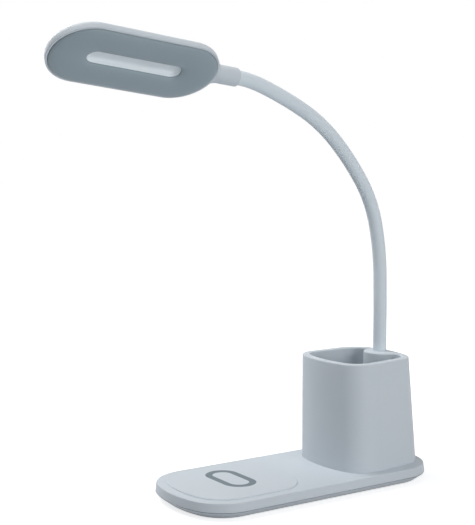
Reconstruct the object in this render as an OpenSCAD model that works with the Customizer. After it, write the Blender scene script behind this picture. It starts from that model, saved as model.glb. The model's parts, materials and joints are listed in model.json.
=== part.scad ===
// Desk lamp with a pen cup on its base: a low base with a raised charging pad,
// a cup at one end, a gooseneck out of the cup's rim and an obround lamp head.
// Frame: origin under the base's centre on the table, X along the base to the cup,
// Y to the back, Z up. Millimetres.

/* [Base] */
// Length of the base
base_length = 230; // [212:1:260]
// Depth of the base
base_depth = 100; // [94:1:115]
// Height of the base's top face above the table
base_height = 13.7; // [13.2:0.1:18]
// Height of the joint between the top shell and the bottom cover
parting_height = 6.7; // [6:0.1:7.2]
// Radius of the base's corners in plan, as a share of its depth
base_corner_share = 0.338; // [0.24:0.002:0.338]
// Radius of the base's bulged ends in plan, as a share of its depth
base_end_share = 0.9; // [0.7:0.01:0.9]
// Slant of the base's ends where they meet the corners, degrees
base_end_slant = 16.6; // [8:0.2:16.6]
// Wall of the base's two mouldings
base_wall = 2.2; // [1.6:0.1:2.6]
// How far the cover's foot is drawn in from the top face's outline
cover_inset = 6.2; // [3:0.1:8]
// How far the top shell's skirt flares out at the joint
skirt_flare = 0.9; // [0.2:0.1:1.6]

/* [Charging pad] */
// Length of the raised pad, as a share of the base's length
pad_length_share = 0.4174; // [0.38:0.0002:0.43]
// Height of the pad above the base's top face
pad_rise = 1; // [0.6:0.1:2]
// Distance from the base's left end, front and back to the pad
pad_margin = 7.5; // [6:0.5:12]
// Length of the ring inlaid in the pad
ring_length = 50.5; // [40:0.5:60]
// Width of the ring
ring_width = 27; // [22:0.5:36]
// Width of the ring's band
ring_band = 5.6; // [4:0.1:7]
// Outer radius of the charging coil
coil_radius = 24; // [20:0.5:26]

/* [Pen cup] */
// Height of the cup's rim above the table
rim_height = 101; // [85:1:120]
// Length of the cup at its rim
cup_length = 77.5; // [74:0.5:82]
// Depth of the cup at its rim
cup_depth = 77.5; // [74:0.5:80]
// Distance from the cup's rim to the base's right end
cup_margin = 12.6; // [12:0.1:15]
// Width of the cup's rounded lip
lip_width = 6.2; // [5.8:0.1:8]
// Outer wall of the cup
cup_wall = 2.2; // [1.8:0.1:2.4]
// Wall of the cup's inner liner
liner_wall = 2; // [1.6:0.1:2.2]
// Height of the cup's inside floor above the base
cup_floor_height = 8.3; // [8:0.1:14]
// Radius of the round boss that carries the neck
boss_radius = 15.5; // [14:0.5:18]
// Thickness of the boss's top
boss_plate = 6; // [5:0.5:8]

/* [Neck] */
// Outer diameter of the neck's sleeve
sleeve_diameter = 11.3; // [10.4:0.1:11.6]
// Diameter of the steel core inside the sleeve
core_diameter = 7.8; // [7:0.1:8.2]
// Diameter of the lead inside the core
lead_diameter = 3.2; // [2.4:0.1:3.6]
// Length of the neck below its first bend
foot_link_length = 21.5; // [18:0.5:30]
// Length of neck between two neighbouring bends
link_length = 42; // [36:1:46]
// Length of the neck from its last bend to the head's collar
tail_link_length = 25; // [22:1:32]

/* [Head] */
// Length of the grey panel under the head
panel_length = 132; // [122:1:150]
// Width of the grey panel
panel_width = 56.3; // [52:0.1:64]
// How far the shell's rim stands outside the panel
rim_margin = 1.9; // [1.7:0.1:2.6]
// Height of the shell above its rim, at its middle
shell_height = 11; // [10.8:0.1:13]
// Length of the light slot
slot_length = 76.5; // [66:0.5:84]
// Width of the light slot
slot_width = 13.5; // [12:0.5:17]
// How far the panel's ring bulges down
panel_bulge = 2.6; // [1.5:0.1:3]
// Diameter of the head's collar
collar_diameter = 14.4; // [13.8:0.1:15.4]
// Length of the collar from its mouth to the shell
collar_length = 22; // [18:0.5:26]
// Turn of the head about the neck's end, degrees
head_roll = 35; // [0:1:60]

/* [Hidden] */

pale_blue = [0.79, 0.83, 0.86];
slate_grey = [0.47, 0.53, 0.56];
milky_white = [0.93, 0.95, 0.96];
board_green = [0.12, 0.38, 0.26];

// Cuts run past a face by this much
overrun = 1;
// Clearance of two pieces that sit together
hair_gap = 0.1;
// Clearance of two pieces that move past each other
move_gap = 0.3;
arc_steps = 8;
round_faces = 48;
flare_faces = 32;
$fn = round_faces;

// Outlines: a polygon's corners are rounded with an arc each, and all rings of one
// skin have the same number of points, so that a skin can run from ring to ring
function unit(v) = v / norm(v);
function corner_arc(a, b, c, r) =
  let(
    u = unit(a - b),
    v = unit(c - b),
    half = acos(u * v) / 2,
    start = b + u * r / tan(half),
    stop = b + v * r / tan(half),
    centre = b + unit(u + v) * r / sin(half),
    first = atan2(start.y - centre.y, start.x - centre.x),
    last = atan2(stop.y - centre.y, stop.x - centre.x),
    turn = (last - first + 540) % 360 - 180
  )
  [for (i = [0:arc_steps])
    let(a = first + turn * i / arc_steps)
    centre + r * [cos(a), sin(a)]];
function rounded(corners, radii) =
  let(n = len(corners))
  [for (i = [0:n - 1]) each corner_arc(corners[(i + n - 1) % n], corners[i], corners[(i + 1) % n], radii[i])];

// The same corners moved inwards by d, for a polygon that runs anticlockwise
function left_of(a, b) = let(e = unit(b - a)) [-e.y, e.x];
function inset(corners, d) =
  let(n = len(corners))
  [for (i = [0:n - 1])
    let(
      before = left_of(corners[(i + n - 1) % n], corners[i]),
      after = left_of(corners[i], corners[(i + 1) % n])
    )
    corners[i] + d * (before + after) / (1 + before * after)];

// An oblong with bulged ends: half length a, half depth b, d is how far it is drawn in
function bulged(a, b, slant, corner_radius, end_radius, d) =
  let(
    tip = a - d + (end_radius - d) * (1 / cos(slant) - 1),
    shoulder = tip - (b - d) * tan(slant),
    rc = corner_radius - d,
    re = end_radius - d
  )
  rounded(
    [[shoulder, d - b], [tip, 0], [shoulder, b - d], [-shoulder, b - d], [-tip, 0], [-shoulder, d - b]],
    [rc, re, rc, rc, re, rc]
  );

// A closed skin through rings of points, each ring given as its height and its points
module skin(rings) {
  count = len(rings[0][1]);
  last = len(rings) - 1;
  points = [for (ring = rings) each [for (p = ring[1]) [p.x, p.y, ring[0]]]];
  sides = [
    for (i = [0:last - 1]) each [
      for (j = [0:count - 1])
        let(a = i * count + j, b = i * count + (j + 1) % count, c = b + count, d = a + count)
        each [[a, d, c], [a, c, b]]
    ]
  ];
  bottom = [for (j = [0:count - 1]) j];
  top = [for (j = [count - 1:-1:0]) last * count + j];
  polyhedron(points, concat([bottom], sides, [top]));
}

// An obround outline, long along X
module obround(length, width) {
  square([length - width, width], center = true);
  for (side = [-1, 1])
    translate([side * (length - width) / 2, 0])
      circle(d = width);
}

// A solid whose half section runs round an obround, long along X. The section's x is the
// distance from the middle line, and run is the distance between the two end centres
module round_obround(run, section) {
  for (side = [-1, 1])
    translate([side * run / 2, 0, 0])
      rotate([0, 0, -90 * side])
        rotate_extrude(angle = 180, $fn = round_faces * 2)
          polygon(section);
  rotate([90, 0, 90])
    linear_extrude(run, center = true)
      for (side = [0, 1])
        mirror([side, 0])
          polygon(section);
}

// Base: a top shell and a bottom cover, screwed together from below. The mat glued under
// the cover hides the screws
half_length = base_length / 2;
half_depth = base_depth / 2;
base_corner_radius = base_corner_share * base_depth;
base_end_radius = base_end_share * base_depth;
cover_foot = 0.8;
cover_floor = 2;
cover_floor_top = cover_foot + cover_floor;
joint_groove = 0.4;
cover_top = parting_height - joint_groove;
tongue_height = 1.2;
tongue_wall = 1.2;
shell_ceiling = base_height - base_wall;
edge_round = 1;
edge_draft = 0.1;

function base_ring(z, d) =
  [z, bulged(half_length, half_depth, base_end_slant, base_corner_radius, base_end_radius, d)];

screw_post_radius = 3.5;
cover_post_radius = 4.6;
cover_post_height = 2.2;
post_meet_height = cover_floor_top + cover_post_height;
pilot_radius = 1.25;
shank_radius = 1.2;
shank_hole_radius = 1.65;
screw_head_radius = 2.8;
screw_head_height = 1.6;
screw_sink_radius = 3.1;
screw_land = 1.2;
screw_sink_top = post_meet_height - screw_land;
screw_end_gap = 0.9;
screw_length = shell_ceiling - screw_end_gap - screw_sink_top;
pilot_depth = shell_ceiling - screw_end_gap / 2 - post_meet_height;

// Where the cup's screws go through the shell, as shares of the cup's length and depth
cup_right = half_length - cup_margin;
cup_left = cup_right - cup_length;
cup_screw_shares = [[0.2, -0.28], [0.2, 0.28], [0.7, -0.2]];
cup_screw_places = [for (s = cup_screw_shares) [cup_left + s.x * cup_length, s.y * cup_depth]];

// Where the neck stands, from the cup's rim
neck_edge_distance = 7.9;
neck_x = cup_right - neck_edge_distance;
neck_y = 7;
lead_hole_radius = 4;

// Charging pad
pad_length = pad_length_share * base_length;
pad_depth = base_depth - 2 * pad_margin;
pad_x = pad_margin + pad_length / 2 - half_length;
pad_tongue = 0.6;
pad_ledge = 0.8;
pad_corner_share = 0.328;
pad_end_share = 1;
pad_end_slant = 14.7;
pad_corner_radius = pad_corner_share * pad_depth;
pad_end_radius = pad_end_share * pad_depth;
function pad_ring_at(z, d) =
  [z, bulged(pad_length / 2, pad_depth / 2, pad_end_slant, pad_corner_radius, pad_end_radius, d)];

// Board, inlet and middle screws keep their distances from the neck
board_neck_gap = 18.5;
board_length = 54;
board_right = neck_x - board_neck_gap;
board_left = board_right - board_length;
middle_screw_gap = 22;
middle_screw_x = board_left - middle_screw_gap;

// Places of the base's screws: the outer four as shares of the half length and half depth
outer_screw_shares = [0.765, 0.52];
middle_screw_share = 0.72;
base_screw_places = [
  for (sy = [-1, 1])
    each [
      [-outer_screw_shares.x * half_length, sy * outer_screw_shares.y * half_depth],
      [middle_screw_x, sy * middle_screw_share * half_depth],
      [outer_screw_shares.x * half_length, sy * outer_screw_shares.y * half_depth]
    ]
];

// Inlet for the supply lead, in the back wall behind the cup
inlet_x = board_right - board_length / 2;
inlet_width = 8.9;
inlet_height = 3.2;
inlet_depth = 7.4;
inlet_wall = 0.35;
inlet_tongue_width = 6.7;
inlet_tongue_height = 0.7;
inlet_tongue_depth = 4.5;
inlet_tongue_front = inlet_depth - inlet_tongue_height - inlet_tongue_depth;
inlet_opening_gap = 0.4;
inlet_reach = 0.4;

// Control board on four pins of the cover
board_lift = 3.8;
board_bottom = cover_floor_top + board_lift;
board_thickness = 1.2;
board_top = board_bottom + board_thickness;
board_front = -20;
board_back_gap = 4.2;
board_back = half_depth - board_back_gap;
board_pin_inset = 5;
board_pin_places = [
  for (x = [board_left + board_pin_inset, board_right - board_pin_inset])
    for (y = [board_front + board_pin_inset, board_back - 2 * board_pin_inset])
      [x, y]
];
board_post_radius = 2.6;
board_pin_radius = 1.2;
inlet_z = board_top + inlet_height / 2;

module base_top_shell() color(pale_blue) {
  difference() {
    skin([
      base_ring(parting_height, -skirt_flare),
      base_ring(base_height - edge_round, -edge_draft),
      base_ring(base_height - edge_round * (1 - sin(45)), edge_round * (1 - cos(45)) - edge_draft),
      base_ring(base_height, edge_round - edge_draft)
    ]);
    difference() {
      skin([
        base_ring(parting_height - overrun, base_wall - skirt_flare),
        base_ring(parting_height, base_wall - skirt_flare),
        base_ring(shell_ceiling, base_wall)
      ]);
      for (p = base_screw_places)
        translate([p.x, p.y, post_meet_height])
          cylinder(h = base_height - post_meet_height, r = screw_post_radius);
    }
    for (p = base_screw_places)
      translate([p.x, p.y, post_meet_height - overrun])
        cylinder(h = pilot_depth + overrun, r = pilot_radius);
    for (p = cup_screw_places)
      translate([p.x, p.y, shell_ceiling - overrun])
        cylinder(h = base_wall + 2 * overrun, r = shank_hole_radius);
    translate([neck_x, neck_y, shell_ceiling - overrun])
      cylinder(h = base_wall + 2 * overrun, r = lead_hole_radius);
    translate([pad_x, 0, 0])
      skin([
        pad_ring_at(base_height - pad_tongue, pad_ledge - hair_gap),
        pad_ring_at(base_height + overrun, pad_ledge - hair_gap)
      ]);
    translate([inlet_x, half_depth - base_wall - overrun, inlet_z])
      rotate([-90, 0, 0])
        linear_extrude(base_wall + skirt_flare + 2 * overrun)
          obround(inlet_width + 2 * inlet_opening_gap, inlet_height + 2 * inlet_opening_gap);
  }
  // Posts that the screws bite into, below the joint
  difference() {
    for (p = base_screw_places)
      translate([p.x, p.y, post_meet_height])
        cylinder(h = parting_height + overrun - post_meet_height, r = screw_post_radius);
    for (p = base_screw_places)
      translate([p.x, p.y, post_meet_height - overrun])
        cylinder(h = shell_ceiling + overrun - post_meet_height, r = pilot_radius);
  }
}

cover_slope_share = (cover_floor_top - cover_foot) / (cover_top - cover_foot);
cover_inset_at_floor = cover_inset - (cover_inset + skirt_flare) * cover_slope_share;
cover_side_wall = 2.7;
mat_thickness = 1.2;
mat_margin = 5;
mat_sink = mat_thickness - cover_foot;

module base_bottom_cover() color(pale_blue) {
  difference() {
    union() {
      difference() {
        skin([base_ring(cover_foot, cover_inset), base_ring(cover_top, -skirt_flare)]);
        skin([
          base_ring(cover_floor_top, cover_inset_at_floor + cover_side_wall),
          base_ring(cover_top + overrun, cover_side_wall - skirt_flare)
        ]);
      }
      // Tongue that locates the top shell
      difference() {
        skin([
          base_ring(cover_top - tongue_height, base_wall - skirt_flare + move_gap),
          base_ring(cover_top + tongue_height, base_wall + move_gap / 2)
        ]);
        skin([
          base_ring(cover_top - tongue_height - overrun, base_wall - skirt_flare + move_gap + tongue_wall),
          base_ring(cover_top + tongue_height + overrun, base_wall + move_gap / 2 + tongue_wall)
        ]);
      }
      for (p = base_screw_places)
        translate([p.x, p.y, cover_foot])
          cylinder(h = post_meet_height - cover_foot, r = cover_post_radius);
      for (p = board_pin_places)
        translate([p.x, p.y, cover_foot + cover_floor / 2])
          cylinder(h = board_bottom - cover_foot - cover_floor / 2, r = board_post_radius);
      for (p = board_pin_places)
        translate([p.x, p.y, board_bottom - overrun])
          cylinder(h = board_thickness + overrun + board_pin_radius / 2, r = board_pin_radius);
    }
    skin([
      base_ring(cover_foot - overrun, cover_inset + mat_margin - hair_gap),
      base_ring(cover_foot + mat_sink, cover_inset + mat_margin - hair_gap)
    ]);
    for (p = base_screw_places)
      translate([p.x, p.y, cover_foot - overrun])
        cylinder(h = screw_sink_top - cover_foot + overrun, r = screw_sink_radius);
    for (p = base_screw_places)
      translate([p.x, p.y, cover_foot])
        cylinder(h = post_meet_height - cover_foot + overrun, r = shank_hole_radius);
  }
}

module base_mat() color([0.3, 0.31, 0.33])
  linear_extrude(mat_thickness)
    polygon(base_ring(0, cover_inset + mat_margin)[1]);

// A screw with its head down and its shank up, from the face that its head bears on
module screw(head_radius, head_height, radius, length) {
  translate([0, 0, -head_height])
    cylinder(h = head_height, r = head_radius);
  cylinder(h = length, r = radius);
}

module base_screws() color("silver")
  for (p = base_screw_places)
    translate([p.x, p.y, screw_sink_top])
      screw(screw_head_radius, screw_head_height, shank_radius, screw_length);

// Steel plate that keeps the lamp from tipping, glued to the cover's floor
ballast_end_gap = 37;
ballast_side_gap = 14;
ballast_board_gap = 6;
ballast_left = ballast_end_gap - half_length;
ballast_right = board_left - ballast_board_gap;
ballast_length = ballast_right - ballast_left;
ballast_width = base_depth - 2 * ballast_side_gap;
ballast_thickness = 3.4;
ballast_x = (ballast_left + ballast_right) / 2;
ballast_corner = 8;
ballast_post_gap = 1;
ballast_hole_radius = cover_post_radius + ballast_post_gap;

module ballast_plate() color([0.55, 0.56, 0.58])
  translate([ballast_x, 0, cover_floor_top])
    difference() {
      linear_extrude(ballast_thickness) {
        square([ballast_length - 2 * ballast_corner, ballast_width], center = true);
        square([ballast_length, ballast_width - 2 * ballast_corner], center = true);
        for (sx = [-1, 1])
          for (sy = [-1, 1])
            translate([sx * (ballast_length / 2 - ballast_corner), sy * (ballast_width / 2 - ballast_corner)])
              circle(r = ballast_corner);
      }
      for (p = base_screw_places)
        translate([p.x - ballast_x, p.y, -overrun])
          cylinder(h = ballast_thickness + 2 * overrun, r = ballast_hole_radius);
    }

// Charging pad: a thin cover let into the shell, with a soft ring let into it
ring_shift = 2;
ring_x = pad_x + ring_shift;
ring_y = 5;
ring_sink = 0.5;
ring_proud = 0.1;
pad_top = base_height + pad_rise;
pad_edge_share = 0.7;
pad_edge_height = pad_edge_share * pad_rise;

module charging_pad() color(pale_blue)
  difference() {
    translate([pad_x, 0, 0])
      skin([
        pad_ring_at(base_height - pad_tongue, pad_ledge),
        pad_ring_at(base_height, pad_ledge),
        pad_ring_at(base_height, 0),
        pad_ring_at(pad_top - pad_edge_height, 0),
        pad_ring_at(pad_top - pad_edge_height * (1 - sin(45)), pad_rise * (1 - cos(45))),
        pad_ring_at(pad_top, pad_rise)
      ]);
    translate([ring_x, ring_y, pad_top - ring_sink])
      rotate([0, 0, 90])
        linear_extrude(ring_sink + overrun)
          difference() {
            obround(ring_length, ring_width);
            obround(ring_length - 2 * ring_band, ring_width - 2 * ring_band);
          }
  }

module pad_ring() color(slate_grey)
  translate([ring_x, ring_y, pad_top - ring_sink])
    rotate([0, 0, 90])
      linear_extrude(ring_sink + ring_proud)
        difference() {
          obround(ring_length, ring_width);
          obround(ring_length - 2 * ring_band, ring_width - 2 * ring_band);
        }

// Charging coil, stuck under the shell's ceiling, with its ferrite below it
coil_inner_radius = 9;
coil_thickness = 1.4;
ferrite_thickness = 0.8;
ferrite_margin = 1.5;

module charging_coil() color([0.72, 0.42, 0.24])
  translate([ring_x, ring_y, shell_ceiling - coil_thickness])
    difference() {
      cylinder(h = coil_thickness, r = coil_radius);
      translate([0, 0, -overrun])
        cylinder(h = coil_thickness + 2 * overrun, r = coil_inner_radius);
    }

module coil_ferrite() color([0.2, 0.2, 0.22])
  translate([ring_x, ring_y, shell_ceiling - coil_thickness - ferrite_thickness])
    cylinder(h = ferrite_thickness, r = coil_radius + ferrite_margin);

// Board components: coil socket, lamp socket, choke, chips and a capacitor
socket_length = 5;
socket_width = 7;
socket_height = 3.5;
lamp_socket_right = board_right;
lamp_socket_length = 6;
choke_radius = 4;
choke_height = 3;
chip_height = 1;
board_middle_x = (board_left + board_right) / 2;
board_middle_y = (board_front + board_back) / 2;
chip_size = 7;
small_chip_size = 5;
capacitor_radius = 2.5;
coil_lead_diameter = 1;
coil_lead_pitch = 3;

module coil_leads() color([0.72, 0.42, 0.24])
  for (side = [-1, 1])
    translate([ring_x + coil_radius, ring_y + side * coil_lead_pitch / 2, shell_ceiling - coil_thickness / 2])
      rotate([0, 90, 0])
        cylinder(h = board_left - ring_x - coil_radius, d = coil_lead_diameter);

module control_board() color(board_green)
  difference() {
    translate([board_left, board_front, board_bottom])
      cube([board_right - board_left, board_back - board_front, board_thickness]);
    for (p = board_pin_places)
      translate([p.x, p.y, board_bottom - overrun])
        cylinder(h = board_thickness + 2 * overrun, r = board_pin_radius + hair_gap);
  }

module board_components() color([0.16, 0.16, 0.18]) {
  translate([board_left, ring_y - socket_width / 2, board_top])
    cube([socket_length, socket_width, socket_height]);
  translate([lamp_socket_right - lamp_socket_length, neck_y - socket_width / 2, board_top])
    cube([lamp_socket_length, socket_width, socket_height]);
  translate([board_middle_x, board_front + 2 * choke_radius, board_top])
    cylinder(h = choke_height, r = choke_radius);
  translate([board_middle_x - chip_size / 2, board_middle_y - chip_size, board_top])
    cube([chip_size, chip_size, chip_height]);
  translate([board_middle_x + 2 * small_chip_size, board_middle_y + small_chip_size, board_top])
    cube([small_chip_size, small_chip_size, chip_height]);
  translate([board_middle_x + 4 * capacitor_radius, board_back - 3 * capacitor_radius, board_top])
    cylinder(h = choke_height, r = capacitor_radius);
}

module usb_inlet() color("silver")
  translate([inlet_x, half_depth - inlet_reach, inlet_z])
    rotate([90, 0, 0]) {
      difference() {
        linear_extrude(inlet_depth)
          obround(inlet_width, inlet_height);
        translate([0, 0, -overrun])
          linear_extrude(inlet_depth - inlet_tongue_height + overrun)
            obround(inlet_width - 2 * inlet_wall, inlet_height - 2 * inlet_wall);
      }
      translate([-inlet_tongue_width / 2, -inlet_tongue_height / 2, inlet_tongue_front])
        cube([inlet_tongue_width, inlet_tongue_height, inlet_tongue_depth + inlet_tongue_height / 2]);
    }

// Touch sensor: a copper disc stuck under the shell between the pad and the cup
touch_radius = 6;
touch_thickness = 0.4;
touch_board_gap = 14;
touch_x = board_left - touch_board_gap;
touch_y = -22;

module touch_sensor() color([0.72, 0.42, 0.24])
  translate([touch_x, touch_y, shell_ceiling - touch_thickness])
    cylinder(h = touch_thickness, r = touch_radius);

// Pen cup: one moulding with an outer skirt, an inner liner and a rounded lip that joins
// them. Its outline has two bulged ends, and the front face turns back from a crease
cup_left_radius = 93;
cup_left_slant = 15;
cup_left_corner = 19;
cup_right_radius = 83;
cup_right_slant = 12.5;
cup_right_corner = 26;
cup_front_corner = 20;
crease_share = 0.38;
crease_radius = 0.8;
front_turn = 7.5;
inner_corner_least = 2;
foot_spread_left = -1;
foot_spread_right = 8.2;
foot_spread_depth = 1.8;

function cup_corners(left, right, half) =
  let(
    left_tip = left - cup_left_radius * (1 / cos(cup_left_slant) - 1),
    right_tip = right + cup_right_radius * (1 / cos(cup_right_slant) - 1),
    left_shoulder = left_tip + half * tan(cup_left_slant),
    right_shoulder = right_tip - half * tan(cup_right_slant),
    crease = left + (right - left) * crease_share,
    front_back = (right_shoulder - crease) * tan(front_turn)
  )
  [
    [left_shoulder, -half],
    [crease, -half],
    [right_shoulder + front_back * tan(cup_right_slant), front_back - half],
    [right_tip, 0],
    [right_shoulder, half],
    [left_shoulder, half],
    [left_tip, 0]
  ];
cup_radii = [
  cup_left_corner,
  crease_radius,
  cup_front_corner,
  cup_right_radius,
  cup_right_corner,
  cup_left_corner,
  cup_left_radius
];
foot_left = cup_left - foot_spread_left;
foot_right = cup_right + foot_spread_right;
rim_corners = cup_corners(cup_left, cup_right, cup_depth / 2);
foot_corners = cup_corners(foot_left, foot_right, cup_depth / 2 + foot_spread_depth);

// The cup's outline at a height, and the liner's outline, which follows the rim's
function height_share(z) = (z - base_height) / (rim_height - base_height);
function cup_ring(z, d) =
  [z, rounded(
    inset(foot_corners + (rim_corners - foot_corners) * height_share(z), d),
    [for (r = cup_radii) max(r - d, d > 0 ? inner_corner_least : r)]
  )];
function liner_ring(z, d) =
  [z, rounded(inset(rim_corners, d), [for (r = cup_radii) max(r - d, inner_corner_least)])];

lip_round = 1.1;
liner_draft = 1;
cup_floor_top = base_height + cup_floor_height;
cup_floor_round = 2.5;
under_top = rim_height - boss_plate;
boss_shift_x = 1;
boss_shift_y = -2;
boss_x = neck_x + boss_shift_x;
boss_y = neck_y + boss_shift_y;
cup_post_radius = 4;
cup_screw_end = 1.2;
cup_screw_length = base_wall + cup_floor_height - liner_wall / 2 - cup_screw_end;

// Neck foot, in the boss
sleeve_radius = sleeve_diameter / 2;
core_radius = core_diameter / 2;
lead_radius = lead_diameter / 2;
sleeve_seat = 2;
ferrule_wall = 0.8;
ferrule_inner = core_radius + hair_gap;
ferrule_outer = ferrule_inner + ferrule_wall;
clamp_thickness = 2;
flange_thickness = 1.5;
flange_radius = 5.5;
ferrule_foot = 3.5;
core_foot = boss_plate + clamp_thickness + flange_thickness;
clamp_radius = 5.9;
clamp_ear_radius = 2.6;
clamp_pitch = 17;
clamp_screw_radius = 1.2;
clamp_screw_head = 2.2;
clamp_screw_head_height = 1.4;
clamp_screw_depth = 4.2;
clamp_screw_length = clamp_thickness + clamp_screw_depth - hair_gap;

module cup_inside()
  difference() {
    skin([
      liner_ring(cup_floor_top, lip_width + liner_draft + cup_floor_round / 2),
      liner_ring(cup_floor_top + cup_floor_round / 2, lip_width + liner_draft + cup_floor_round / 6),
      liner_ring(cup_floor_top + cup_floor_round, lip_width + liner_draft),
      liner_ring(rim_height - lip_round, lip_width),
      liner_ring(rim_height - lip_round * (1 - sin(30)), lip_width - lip_round * (1 - cos(30))),
      liner_ring(rim_height - lip_round * (1 - sin(60)), lip_width - lip_round * (1 - cos(60))),
      liner_ring(rim_height, lip_width - lip_round),
      liner_ring(rim_height + overrun, lip_width - lip_round)
    ]);
    translate([boss_x, boss_y, base_height])
      cylinder(h = 2 * rim_height, r = boss_radius, $fn = 2 * round_faces);
  }

module cup_liner()
  difference() {
    skin([
      liner_ring(cup_floor_top - liner_wall, lip_width + liner_draft - liner_wall),
      liner_ring(rim_height, lip_width - liner_wall)
    ]);
    translate([boss_x, boss_y, 0])
      cylinder(h = 2 * rim_height, r = boss_radius - liner_wall, $fn = 2 * round_faces);
  }

module pen_cup() color(pale_blue)
  difference() {
    skin([
      cup_ring(base_height, 0),
      cup_ring(rim_height - lip_round, 0),
      cup_ring(rim_height - lip_round * (1 - sin(30)), lip_round * (1 - cos(30))),
      cup_ring(rim_height - lip_round * (1 - sin(60)), lip_round * (1 - cos(60))),
      cup_ring(rim_height, lip_round)
    ]);
    difference() {
      skin([cup_ring(base_height - overrun, cup_wall), cup_ring(under_top, cup_wall)]);
      cup_liner();
      for (p = cup_screw_places)
        translate([p.x, p.y, base_height])
          cylinder(h = cup_floor_height, r = cup_post_radius);
    }
    cup_inside();
    for (p = cup_screw_places)
      translate([p.x, p.y, base_height - overrun])
        cylinder(h = cup_floor_height - liner_wall / 2 + overrun, r = pilot_radius);
    translate([neck_x, neck_y, 0]) {
      translate([0, 0, rim_height - sleeve_seat])
        cylinder(h = sleeve_seat + overrun, r = sleeve_radius + hair_gap);
      translate([0, 0, under_top - overrun])
        cylinder(h = boss_plate + overrun, r = ferrule_outer + hair_gap);
      for (side = [-1, 1])
        translate([0, side * clamp_pitch / 2, under_top - overrun])
          cylinder(h = clamp_screw_depth + overrun, r = clamp_screw_radius + hair_gap / 2);
    }
  }

module cup_screws() color("silver")
  for (p = cup_screw_places)
    translate([p.x, p.y, shell_ceiling])
      screw(screw_head_radius, screw_head_height, shank_radius, cup_screw_length);

// Steel ferrule crimped on the core's foot, with a flange under the clamp plate
flange_bottom = under_top - clamp_thickness - flange_thickness;
ferrule_end = flange_bottom - ferrule_foot;

module neck_ferrule_lower() color("silver")
  translate([neck_x, neck_y, 0])
    difference() {
      union() {
        translate([0, 0, ferrule_end])
          cylinder(h = rim_height - sleeve_seat - ferrule_end, r = ferrule_outer);
        translate([0, 0, flange_bottom])
          cylinder(h = flange_thickness, r = flange_radius);
      }
      cylinder(h = 2 * rim_height, r = ferrule_inner);
    }

module neck_clamp_plate() color([0.6, 0.61, 0.63])
  translate([neck_x, neck_y, under_top - clamp_thickness])
    difference() {
      linear_extrude(clamp_thickness) {
        circle(r = clamp_radius);
        rotate([0, 0, 90])
          obround(clamp_pitch + 2 * clamp_ear_radius, 2 * clamp_ear_radius);
      }
      translate([0, 0, -overrun])
        cylinder(h = clamp_thickness + 2 * overrun, r = ferrule_outer + hair_gap);
      for (side = [-1, 1])
        translate([0, side * clamp_pitch / 2, -overrun])
          cylinder(h = clamp_thickness + 2 * overrun, r = clamp_screw_radius + hair_gap);
    }

module clamp_screws() color("silver")
  for (side = [-1, 1])
    translate([neck_x, neck_y + side * clamp_pitch / 2, under_top - clamp_thickness])
      screw(clamp_screw_head, clamp_screw_head_height, clamp_screw_radius, clamp_screw_length);

// Lead from the lamp socket on the board up to the neck's foot
lead_bend_radius = 5;
base_lead_z = board_top + socket_height / 2;

module base_lead() color([0.9, 0.9, 0.9]) {
  translate([neck_x, neck_y, base_lead_z + lead_bend_radius])
    cylinder(h = ferrule_end - base_lead_z - lead_bend_radius, r = lead_radius);
  translate([neck_x - lead_bend_radius, neck_y, base_lead_z + lead_bend_radius])
    rotate([90, 0, 0])
      rotate([0, 0, -90])
        rotate_extrude(angle = 90)
          translate([lead_bend_radius, 0])
            circle(r = lead_radius);
  translate([lamp_socket_right, neck_y, base_lead_z])
    rotate([0, 90, 0])
      cylinder(h = neck_x - lead_bend_radius - lamp_socket_right, r = lead_radius);
}

// Neck: a steel core in a smooth sleeve, cut into links at its bends. Each link starts in
// a round cap about its bend, which turns in the round socket of the link below
link_turns = [0, 1.5, 11, 22, 10.5, 17, 7, 13.5];
last_link = len(link_turns) - 1;
link_lengths = [
  for (k = [0:last_link])
    k == 0 ? foot_link_length : k == last_link ? tail_link_length : link_length
];
cap_radius = 8;
socket_radius = cap_radius + move_gap;

function heading(k) = k == 0 ? 0 : heading(k - 1) + link_turns[k - 1];
function link_step(k) =
  let(a = heading(k), t = link_turns[k])
  t == 0
    ? link_lengths[k] * [-sin(a), 0, cos(a)]
    : link_lengths[k] / (t * PI / 180) * [cos(a + t) - cos(a), 0, sin(a + t) - sin(a)];
function bend_place(k) = k == 0 ? [neck_x, neck_y, rim_height] : bend_place(k - 1) + link_step(k - 1);

module at_bend(k)
  translate(bend_place(k))
    rotate([0, -heading(k), 0])
      children();

module link_rod(k, r) {
  if (link_turns[k] == 0) {
    cylinder(h = link_lengths[k], r = r);
  } else {
    sweep_radius = link_lengths[k] / (link_turns[k] * PI / 180);
    translate([-sweep_radius, 0, 0])
      rotate([90, 0, 0])
        rotate_extrude(angle = link_turns[k], $fn = 4 * round_faces)
          translate([sweep_radius, 0])
            circle(r = r);
  }
}

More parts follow.
